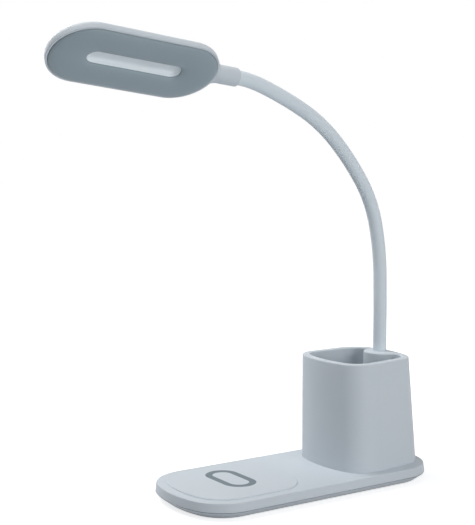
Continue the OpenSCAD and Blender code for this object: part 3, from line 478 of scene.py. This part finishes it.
# Screws: zinc-plated steel with a round head and a cross recess. Six hold the base together
# from below, three hold the cup on the base and two hold the clamp plate under the boss.
screw_tree = sized_tree("screws", {
    "Head Radius": "NodeSocketFloat", "Head Height": "NodeSocketFloat", "Shank Radius": "NodeSocketFloat",
    "Shank Length": "NodeSocketFloat", "Turn": "NodeSocketRotation", "Material": "NodeSocketMaterial"})
given = screw_tree.given
head_height, shank_length = given["Head Height"], given["Shank Length"]


def lifted(geometry, height):
    shift = screw_tree.node("ShaderNodeCombineXYZ", {}, {"Z": height})
    return screw_tree.node("GeometryNodeTransform", {}, {0: geometry, "Translation": shift})


head_cone = screw_tree.node("GeometryNodeMeshCone", {}, {
    "Vertices": 32, "Radius Top": given["Head Radius"], "Radius Bottom": given["Head Radius"] * 0.8,
    "Depth": head_height})
recessed = lifted(head_cone, head_height * -1)
arm = given["Head Radius"] * 1.1
arm_width = arm * 0.22
for x, y in ((arm, arm_width), (arm_width, arm)):
    size = screw_tree.node("ShaderNodeCombineXYZ", {}, {"X": x, "Y": y, "Z": head_height})
    bar = lifted(screw_tree.node("GeometryNodeMeshCube", {}, {"Size": size}), head_height * -1.5)
    recessed = screw_tree.node("GeometryNodeMeshBoolean", {"operation": "DIFFERENCE"}, {
        "Mesh 1": recessed, "Mesh 2": bar})
shank = screw_tree.node("GeometryNodeMeshCylinder", {}, {
    "Vertices": 20, "Radius": given["Shank Radius"], "Depth": shank_length})
joined = screw_tree.tree.nodes.new("GeometryNodeJoinGeometry")
for part in (recessed, lifted(shank, shank_length * 0.5)):
    screw_tree.tree.links.new(part.socket, joined.inputs[0])
whole_screw = Shade(screw_tree, joined.outputs[0])
close_tree(screw_tree, screw_tree.node("GeometryNodeInstanceOnPoints", {}, {
    "Points": given["Geometry"], "Instance": whole_screw, "Rotation": given["Turn"]}))


def screws(name, places, sizes, node, body="root", turn=(0, 0, 0)):
    """Screws with their heads down, at the places where the heads bear.

    Sizes are the head's radius and height, then the shank's radius and length.
    """
    head, height, radius, length = sizes
    piece = grown(points_piece(name, places), screw_tree, {
        "Head Radius": head * mm, "Head Height": height * mm,
        "Shank Radius": radius * mm, "Shank Length": length * mm, "Turn": turn, "Material": zinc})
    show(as_evaluated(piece), zinc, "screw_steel", body, node)


base_seats = [(x, y, 3.8) for x, y in base_screw_places]
cup_seats = [(x, y, 11.5) for x, y in cup_screw_places]
clamp_seats = [(neck_x, neck_y + side * 8.5, 93) for side in (-1, 1)]
screws("base_cross_screws", base_seats, (2.8, 1.6, 1.2, 6.8), "base_screws")
screws("cup_cross_screws", cup_seats, (2.8, 1.6, 1.2, 8.3), "cup_screws")
screws("clamp_cross_screws", clamp_seats, (2.2, 1.4, 1.2, 6.1), "clamp_screws")

# Mat: a sheet of dark rubber glued under the cover, over the screws. The fine pips that grip
# the table are a bump in its material.
finish = Finish("dark mat rubber")
pips = finish.node("ShaderNodeTexVoronoi", {"feature": "F1"}, {
    "Vector": finish.place, "Scale": 520, "Randomness": 0.0})
mat_dust = finish.noise(70, 5, 0.65)
mat_colour = finish.mix(mat_dust, tint(66, 69, 74), tint(88, 91, 96))
mat_rubber = finish.surface(mat_colour, 0.78 + 0.12 * mat_dust, 1 - pips, 0.12, Specular_IOR_Level=0.2)
mat_section = [(0, 12.0), (0, 11.5), (0.08, 11.28), (0.25, 11.2), (1.15, 11.2), (1.2, 11.25), (1.2, 12.0)]
grip_mat = skin("grip_mat", [base_ring(z, d) for z, d in mat_section])
show(grip_mat, mat_rubber, "mat_rubber", "root", "base_mat")

# Pen cup: one deep moulding in the pale plastic, a tapered skirt, a rounded lip and an inner
# liner with a round boss in its right corner. The front face turns back from a soft crease.
cup_left, cup_right, cup_half = 24.9, 102.4, 38.75
rim_height, base_height = 101, 13.7
left_radius, right_radius = 93, 83
left_slant, right_slant, front_turn = 15, 12.5, 7.5
cup_radii = [19, 0.8, 20, right_radius, 26, 19, left_radius]
boss_centre = Vector((95.5, 5))


def cup_corners(left, right, half):
    """The cup's seven corners, from the front left one: an end is two slants to a middle tip."""
    tan, cos = (lambda a: math.tan(math.radians(a))), (lambda a: math.cos(math.radians(a)))
    left_tip = left - left_radius * (1 / cos(left_slant) - 1)
    right_tip = right + right_radius * (1 / cos(right_slant) - 1)
    left_shoulder = left_tip + half * tan(left_slant)
    right_shoulder = right_tip - half * tan(right_slant)
    crease = left + (right - left) * 0.38
    turned_back = (right_shoulder - crease) * tan(front_turn)
    return [Vector(p) for p in (
        (left_shoulder, -half), (crease, -half),
        (right_shoulder + turned_back * tan(right_slant), turned_back - half),
        (right_tip, 0), (right_shoulder, half), (left_shoulder, half), (left_tip, 0))]


def drawn_in(corners, inset):
    """The same corners moved inwards by an inset."""
    moved = []
    for i, corner in enumerate(corners):
        ahead = (corners[(i + 1) % len(corners)] - corner).normalized()
        behind = (corner - corners[i - 1]).normalized()
        before, after = Vector((-behind.y, behind.x)), Vector((-ahead.y, ahead.x))
        moved.append(corner + (before + after) * (inset / (1 + before.dot(after))))
    return moved


rim_corners = cup_corners(cup_left, cup_right, cup_half)
foot_corners = cup_corners(cup_left + 1, cup_right + 8.2, cup_half + 1.8)


def share_of(value, low, high):
    """How far a value has come from low to high, 0 to 1."""
    return min(max((value - low) / (high - low), 0), 1)


def cup_ring(height, inset):
    """The cup's outline at a height, drawn in by an inset: it tapers from foot to rim."""
    share = share_of(height, base_height, rim_height)
    corners = [foot.lerp(rim, share) for foot, rim in zip(foot_corners, rim_corners)]
    radii = [max(r - inset, 2) if inset > 0.8 else r for r in cup_radii]
    return [(p.x, p.y, height) for p in rounded(drawn_in(corners, inset), radii, 18, 5)]


def spaced(path, count):
    """A path in equal steps of its length."""
    lengths = [0.0]
    for a, b in zip(path, path[1:]):
        lengths.append(lengths[-1] + (b - a).length)
    steps, i = [], 0
    for k in range(count):
        target = lengths[-1] * k / (count - 1)
        while i < len(path) - 2 and lengths[i + 1] < target:
            i += 1
        span = lengths[i + 1] - lengths[i]
        steps.append(path[i].lerp(path[i + 1], (target - lengths[i]) / span if span > 0 else 0))
    return steps


def liner_ring(height, inset, boss, fillet=6.5):
    """The cup's inside with the boss bitten out of it: a sharp notch behind, a fillet in front."""
    outline = rounded(drawn_in(rim_corners, inset), [max(r - inset, 2) for r in cup_radii], 40, 30)
    clear = [(p - boss_centre).length > boss for p in outline]
    start = next(i for i in range(len(outline)) if clear[i] and not clear[i - 1])
    run = []
    while clear[(start + len(run)) % len(outline)]:
        run.append(outline[(start + len(run)) % len(outline)])

    def on_boss(outer, inner):
        """Where the way from a point outside the boss to one inside meets its edge."""
        low, high = 0.0, 1.0
        for _ in range(30):
            middle = (low + high) / 2
            if (outer.lerp(inner, middle) - boss_centre).length > boss:
                low = middle
            else:
                high = middle
        return outer.lerp(inner, low)

    notch = on_boss(run[0], outline[start - 1])
    corner = on_boss(run[-1], outline[(start + len(run)) % len(outline)])
    run = spaced([notch] + run + [corner], 600)
    first = math.atan2(corner.y - boss_centre.y, corner.x - boss_centre.x)
    last = math.atan2(notch.y - boss_centre.y, notch.x - boss_centre.x)
    sweep = -((first - last) % (2 * math.pi))
    angles = [first + sweep * k / 200 for k in range(201)]
    arc = [boss_centre + boss * Vector((math.cos(a), math.sin(a))) for a in angles]
    before = max(i for i, p in enumerate(run) if (p - corner).length > fillet)
    after = min(i for i, p in enumerate(arc) if (p - corner).length > fillet)
    shares = [k / 12 for k in range(13)]
    bend = [run[before] * (1 - t) ** 2 + corner * 2 * t * (1 - t) + arc[after] * t ** 2 for t in shares]
    outline = spaced(run[:before + 1], 230)[:-1] + bend[:-1] + spaced(arc[after:], 40)[:-1]
    return [(p.x, p.y, height) for p in outline]


lip, rim_width, boss_radius = 1.1, 6.2, 15.5
floor_height, floor_round = 22, 2.5
bend_height = floor_height + floor_round
wall_levels = [base_height + (rim_height - lip - base_height) * k / 14 for k in range(15)]
outer_rings = [cup_ring(z, 0) for z in wall_levels]
outer_rings += [cup_ring(rim_height - lip * (1 - s), lip * (1 - c)) for s, c in quarter()[1:]]
outer_rings += [cup_ring(rim_height, lip + 0.15)]
inner_rings = [liner_ring(rim_height, rim_width - 0.15 - lip, boss_radius - 0.15 - lip)]
for s, c in quarter():
    inner_rings.append(liner_ring(rim_height - lip * (1 - c), rim_width + lip * (s - 1),
                                  boss_radius + lip * (s - 1)))
for k in range(1, 11):
    drop = (rim_height - bend_height - lip) * k / 10
    inner_rings.append(liner_ring(rim_height - lip - drop, rim_width + k / 10, boss_radius))
for s, c in quarter(6)[1:]:
    inner_rings.append(liner_ring(bend_height - floor_round * s, 7.2 + floor_round * (1 - c),
                                  boss_radius + floor_round * (1 - c)))
inner_rings.append(liner_ring(floor_height, 10.1, 18.4))
form = bmesh.new()
tops = []
for rings in (outer_rings, inner_rings):
    rows = [[form.verts.new(Vector(p) * mm) for p in ring] for ring in rings]
    bridge(form, rows)
    closing, opening = (rows[0], rows[-1]) if rings is outer_rings else (rows[-1], rows[0])
    form.faces.new(closing)
    tops += [form.edges.get((opening[i - 1], opening[i])) for i in range(len(opening))]
bmesh.ops.triangle_fill(form, edges=tops, use_beauty=True, normal=(0, 0, 1))
cup = finished_form("cup", form)
hollow = skin("hollow", [cup_ring(z, 2.2) for z in (12.7, 13.7, 40, 70, 95)])
carve(hollow, skin("liner", [liner_ring(z, d, 13.5) for z, d in ((20, 5.2), (102, 4.19))]))
carve(hollow, rods("cup_posts", cup_screw_places, [(11, 4), (21, 4)]))
carve(cup, hollow)
carve(cup, rods("seat", [(neck_x, neck_y)], [(94, 4.88), (99, 4.88), (99, 5.75), (102, 5.75)]))
carve(cup, rods("cup_pilots", cup_screw_places, [(12.7, 1.25), (21, 1.25)]))
show(cup, pale_plastic, "pale_shell", "root", "pen_cup", angle=24)

# Neck foot: a steel ferrule crimped on the core, held up in the boss by a clamp plate.
dress(zinc, "neck_ferrule_lower", "neck_clamp_plate")

# Neck: a steel gooseneck core with the lead inside it, in a smooth sleeve of soft pale
# rubber. The sleeve is seven stretches, each over one bend.
neck_turns = [0, 1.5, 11, 22, 10.5, 17, 7, 13.5]
neck_lengths = [21.5] + [42] * 6 + [25]
neck_bodies = ["root"] + [f"neck_{k}" for k in range(1, 8)]


def along_neck(distance):
    """The point on the neck's centreline this far from the cup's rim, and its heading."""
    point, heading = Vector((neck_x, neck_y, rim_height)), 0.0
    for k, (turn, length) in enumerate(zip(neck_turns, neck_lengths)):
        last = k == len(neck_turns) - 1
        part = distance if last or distance < length else length
        a, t = math.radians(heading), math.radians(turn) * min(part, length) / length
        if turn == 0 or distance < 0:
            point = point + part * Vector((-math.sin(a), 0, math.cos(a)))
        else:
            radius = length / math.radians(turn)
            point = point + radius * Vector((math.cos(a + t) - math.cos(a), 0, math.sin(a + t) - math.sin(a)))
            if part > length:
                point = point + (part - length) * Vector((-math.sin(a + t), 0, math.cos(a + t)))
        heading += math.degrees(t) if distance >= 0 else 0
        distance -= part
        if distance <= 0:
            break
    return point, heading


finish = Finish("soft sleeve rubber")
sleeve_drift = finish.noise(24, 2)
lint = finish.noise(1300, 3, 0.7)
sleeve_tone = finish.mix(sleeve_drift, tint(216, 226, 233, 0.97), tint(216, 226, 233, 1.03))
sleeve_rubber = finish.surface(sleeve_tone, 0.52 + 0.12 * lint, Specular_IOR_Level=0.3)
tube_tree = sized_tree("sleeve along a path", {"Radius": "NodeSocketFloat", "Material": "NodeSocketMaterial"})
path = tube_tree.node("GeometryNodeMeshToCurve", {}, {0: tube_tree.given["Geometry"]})
section = tube_tree.node("GeometryNodeCurvePrimitiveCircle", {}, {
    "Resolution": 56, "Radius": tube_tree.given["Radius"]})
close_tree(tube_tree, tube_tree.node("GeometryNodeCurveToMesh", {}, {0: path, 1: section}))
bend_distances = [sum(neck_lengths[:k]) for k in range(1, 8)]
middles = [-2.0] + [(a + b) / 2 for a, b in zip(bend_distances, bend_distances[1:])] + [sum(neck_lengths) + 5]
sleeve_radius, sleeve_wall = 5.65, 0.9
ring_step, end_step = 1.4, 0.02
for k, (low, high) in enumerate(zip(middles, middles[1:]), start=1):
    count = round((high - low) / ring_step)
    between = [low + (high - low) * i / count for i in range(1, count)]
    distances = [low, low + end_step] + between + [high - end_step, high]
    path_points = [along_neck(d)[0] for d in distances]
    stretch = points_piece(f"neck_sleeve_stretch_{k}", path_points, linked=True)
    grown(stretch, tube_tree, {"Radius": sleeve_radius * mm, "Material": sleeve_rubber})
    wall = stretch.modifiers.new("wall", "SOLIDIFY")
    wall.thickness = sleeve_wall * mm
    wall.offset = -1
    as_evaluated(stretch)
    form = bmesh.new()
    form.from_mesh(stretch.data)
    bmesh.ops.recalc_face_normals(form, faces=form.faces)
    form.to_mesh(stretch.data)
    form.free()
    coat(stretch, sleeve_rubber)
    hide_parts(*([f"neck_sleeve_{k - 1}"] if k == 1 else []), f"neck_sleeve_{k}")
    ends = [along_neck(d)[0] * mm for d in (max(low, 0), min(high, sum(neck_lengths)))]
    neck_bodies[k - 1]
    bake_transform(stretch)

core_steel = zinc_steel("gooseneck core steel", (120, 124, 128), (158, 161, 165), 0.36)
dress(core_steel, *[f"neck_core_{k}" for k in range(8)])
dress(white_jacket, *[f"neck_lead_{k}" for k in range(8)], "head_lead")
dress(zinc, "neck_ferrule_upper")
spring_steel = specked("blackened spring steel", (500, 4), (44, 45, 48), (78, 79, 83),
                       0.4, 0.2, 0.01, Metallic=0.8)
dress(spring_steel, "swivel_clip")

# Head shell: an obround dish in the pale plastic that opens downwards. Its end runs out
# into a round collar, which turns on the ferrule at the neck's end.
mouth, mouth_heading = along_neck(sum(neck_lengths))
head_place = (Matrix.Translation(mouth) @ Matrix.Rotation(math.radians(270 - mouth_heading), 4, "Y")
              @ Matrix.Rotation(math.radians(215), 4, "X"))
plate_place = head_place @ Matrix.Translation((89.9, 0, -6.5))
panel_length, panel_radius, rim_radius = 132, 28.15, 30.05
plate_run = panel_length - 2 * panel_radius


def dome(radius, height, side=2.8, steps=24):
    """Half section of the dish from its side over to the middle line, flat sided at the rim."""
    arc = [(radius * c ** 0.8, side + (height - side) * s ** 0.8) for s, c in quarter(steps)[:-1]]
    return arc + [(0, height)]


def dish(name, section, closed=False):
    """A form whose half section of distance and height runs round the head's obround."""
    return skin(name, [obround_ring(plate_run, r, z, 56) for r, z in section], plate_place, closed)


outer_section = [(29.0, 0), (29.6, 0)]
outer_section += [(29.65 + 0.4 * s, 0.4 * (1 - c)) for s, c in quarter(5)[1:]]
outer_section += dome(rim_radius, 11)
head_shell = dish("head_dish", outer_section)


def collar_ring(along, half_width, top, bottom, power=1.0, steps=72):
    """A ring across the collar's axis: round at power 1, and squarer below it."""
    ring = []
    for k in range(steps):
        across, up = math.cos(2 * math.pi * k / steps), math.sin(2 * math.pi * k / steps)
        reach = top if up > 0 else -bottom
        ring.append((along, half_width * math.copysign(abs(across) ** power, across),
                     reach * math.copysign(abs(up) ** power, up)))
    return ring


collar_radius, mouth_round = 7.2, 1.2
collar_rings = []
for s, c in reversed(quarter(6)):
    radius = collar_radius - mouth_round + mouth_round * c
    collar_rings.append(collar_ring(mouth_round * (1 - s), radius, radius, -radius))
# Towards the dish the collar spreads out, its top sinks in and its underside lifts a little
for k in range(27):
    along = 15 + 0.95 * k
    widening = share_of(along, 16.2, 25)
    spread = 6.2 * widening ** 2 + max(along - 25, 0) * 0.25
    drop = share_of(along, 16, 37)
    sink = drop * drop * (3 - 2 * drop)
    lift = share_of(along, 15, 20)
    collar_rings.append(collar_ring(along, collar_radius + spread, collar_radius - 3.9 * sink,
                                    -collar_radius + 0.85 * lift, 1 - 0.4 * widening))
carve(head_shell, skin("collar", collar_rings, head_place), "UNION")
hollow_section = [(panel_radius + 0.45, -1), (panel_radius + 0.45, 0), (panel_radius + 0.2, 0.25),
                  (panel_radius + 0.2, 1.6), (panel_radius - 1.4, 1.6), (panel_radius - 1.4, 2.4)]
hollow_section += [p for p in dome(rim_radius - 1.8, 9.2) if p[1] > 2.81]
carve(head_shell, dish("dish_hollow", hollow_section))
bore_levels = [(-1, 5.9), (5.3, 5.9), (5.3, 4.88), (12.9, 4.88), (12.9, 6.0), (14.1, 6.0),
               (14.1, 4.88), (19.8, 4.88), (19.8, 1.9), (33.5, 1.9)]
collar_axis = head_place @ Matrix.Rotation(math.pi / 2, 4, "Y")
carve(head_shell, rods("collar_bore", [(0, 0)], bore_levels, collar_axis))
led_post_places = [(sx * 30.6, sy * 6.4) for sx in (-1, 1) for sy in (-1, 1)]
carve(head_shell, rods("led_posts", led_post_places, [(7.6, 2.4), (9.9, 2.4)], plate_place), "UNION")
carve(head_shell, rods("led_pilots", led_post_places, [(6.6, 0.95), (9.7, 0.95)], plate_place))
show(head_shell, pale_plastic, "pale_shell", "head", "head_shell", angle=28)

# Panel: a puffed obround ring of slate-grey plastic that snaps into the dish against its
# ledge and runs in to the light slot. Its grey is partly the plastic's own and partly painted
# shade, standing in for the shade on this downward-facing underside.
slot_length, slot_radius, puff_rise = 76.5, 6.75, 3.2
slot_run = slot_length - 2 * slot_radius
puff_middle, puff_half = (panel_radius + slot_radius) / 2, (panel_radius - slot_radius) / 2


def puff(height, share, steps=36):
    """Half an ellipse from the panel's edge to the slot, narrowed to a share of its width."""
    angles = [math.pi * k / steps for k in range(steps + 1)]
    return [(puff_middle + share * puff_half * math.cos(a), height - puff_rise * math.sin(a))
            for a in angles]


finish = Finish("slate satin plastic")
slate_drift = finish.noise(13, 2)
slate_grain = finish.noise(2400, 2)
# The panel's grey is partly painted shade for its downward-facing side.
slate_and_painted_shade_tone = finish.mix(slate_drift, tint(150, 164, 172, 0.93), tint(150, 164, 172, 1.01))
slate_and_painted_shade_plastic = finish.surface(slate_and_painted_shade_tone, 0.5 + 0.08 * slate_grain, slate_grain, 0.006,
                               Specular_IOR_Level=0.3)
panel_section = [(panel_radius, 1.55), (panel_radius, 0.12)] + puff(0, 1)[1:-1]
panel_section += [(slot_radius, 0.12), (slot_radius, 1.6)] + list(reversed(puff(1.6, 0.88)))
panel_rings = []
for r, z in panel_section:
    share = (r - slot_radius) / (panel_radius - slot_radius)
    panel_rings.append(obround_ring(slot_run + (plate_run - slot_run) * share, r, z, 56))
panel = skin("grey_panel", panel_rings, plate_place, closed=True)
show(panel, slate_and_painted_shade_plastic, "grey_trim", "head", "head_panel", angle=40)

# Light lens: a tray of milky plastic let up into the slot, with a flange that is welded to
# the back of the panel. It spreads the light of the LED chips above it.
finish = Finish("milky plastic")
milk = finish.noise(30, 3)
milk_grain = finish.noise(900, 2)
milk_tone = finish.mix(milk, tint(229, 236, 241), tint(236, 242, 245))
milky = finish.surface(milk_tone, 0.3 + 0.1 * milk_grain, milk_grain, 0.004, Specular_IOR_Level=0.4,
                       Subsurface_Weight=0.2, Subsurface_Radius=(0.004, 0.004, 0.005))
lens_section = [(0, 4.3), (2.6, 4.3), (3.4, 4.25)]
lens_section += [(3.6 + 2.3 * s, 4.2 - 3.4 * (1 - c)) for s, c in quarter(10)[1:]]
lens_section += [(6.05, 0.5), (6.2, 0.4), (6.45, 0.4), (6.6, 0.52), (6.65, 0.7), (6.65, 1.7),
                 (9.55, 1.7), (9.55, 2.8), (6.75, 2.8), (6.5, 4.2), (5.06, 5.35), (0, 5.5)]
lens = skin("light_tray", [obround_ring(slot_run, r, z) for r, z in lens_section], plate_place)
show(lens, milky, "milky_lens", "head", "light_lens")

# LED board: a white aluminium strip on four posts of the shell, with two rows of chips.
lacquer = specked("white board lacquer", (600, 3), (226, 228, 228), (240, 241, 240), 0.3, 0.1, 0.006)
dress(lacquer, "led_board")
phosphor = specked("yellow LED phosphor", (1600, 3), (226, 202, 96), (244, 226, 134), 0.35, 0.1, 0.01)
dress(phosphor, "led_chips")
turned = plate_place.to_quaternion().to_euler()
led_seats = [(plate_place @ Vector((x, y, 6.6)))[:] for x, y in led_post_places]
screws("led_cross_screws", led_seats, (1.7, 0.8, 0.9, 3.0), "led_screws", "head", tuple(turned))

# Studio: a pale floor that keeps the lamp's shadow, a white surround, five soft lamps and
# the camera at the photograph's place.


def background_ray(wiring):
    """1 where the camera, a gloss or a glass looks at the surround, 0 where it lights the lamp."""
    light_path = wiring.tree.nodes.new("ShaderNodeLightPath")
    kinds = ("Is Camera Ray", "Is Glossy Ray", "Is Transmission Ray")
    rays = [Shade(wiring, light_path.outputs[kind]) for kind in kinds]
    return (rays[0] + rays[1] + rays[2]).at_most(1)


finish = Finish("studio floor")
paper = finish.noise(6, 2)
paper_tone = finish.mix(paper, tint(186, 189, 192), tint(192, 195, 198))
matt = finish.node("ShaderNodeBsdfDiffuse", {}, {"Color": paper_tone})
away = finish.node("ShaderNodeVectorMath", {"operation": "LENGTH"}, {0: finish.place}, "Value")
whiteness = ((away - 0.2).at_least(0) * 0.5 + 0.76).at_most(1)
glow = finish.node("ShaderNodeEmission", {}, {
    "Color": (1, 1, 1, 1), "Strength": background_ray(finish) * whiteness})
both = finish.node("ShaderNodeAddShader", {}, {0: matt, 1: glow})
finish.node("ShaderNodeOutputMaterial", {}, {"Surface": both})
floor_mesh = bpy.data.meshes.new("floor")
floor_mesh.from_pydata([(-6, -6, 0), (6, -6, 0), (6, 6, 0), (-6, 6, 0)], [], [(0, 1, 2, 3)])
floor_mesh.materials.append(finish.material)
floor = new_piece("floor", floor_mesh)

world = bpy.data.worlds.new("surround")
bpy.context.scene.world = world
world.use_nodes = True
world.node_tree.nodes.clear()
sky = Wiring(world.node_tree)
seen = background_ray(sky)
backdrop = sky.node("ShaderNodeBackground", {}, {"Color": (1, 1, 1, 1), "Strength": seen + (1 - seen) * 0.05})
sky.node("ShaderNodeOutputWorld", {}, {"Surface": backdrop})


def soft_lamp(name, azimuth, elevation, power):
    """A square soft lamp that is turned to the middle of the desk lamp."""
    middle, distance, side = Vector((0, 0, 0.12)), 1.6, 0.9
    light = bpy.data.lights.new(name, "AREA")
    light.size, light.energy = side, power
    lamp = bpy.data.objects.new(name, light)
    bpy.context.scene.collection.objects.link(lamp)
    a, e = math.radians(azimuth), math.radians(elevation)
    outwards = Vector((math.cos(e) * math.cos(a), math.cos(e) * math.sin(a), math.sin(e)))
    lamp.location = middle + distance * outwards
    lamp.rotation_euler = outwards.to_track_quat("Z", "Y").to_euler()
    lamp.visible_camera = False


soft_lamp("high back lamp", 135, 60, 15.5)
soft_lamp("low back lamp", 105, 25, 8)
soft_lamp("low front lamp", -86, 12, 12.6)
soft_lamp("top lamp", -126, 75, 4.4)
soft_lamp("right fill", 0, 40, 2)

camera = bpy.data.objects.new("camera", bpy.data.cameras.new("camera"))
bpy.context.scene.collection.objects.link(camera)
camera.location = (-0.5691, -0.7715, 0.2794)
camera.rotation_euler = (math.radians(84.157), 0, math.radians(-33.711))
camera.data.lens = 83.55
bpy.context.scene.camera = camera
bpy.context.scene.view_settings.view_transform = "Standard"
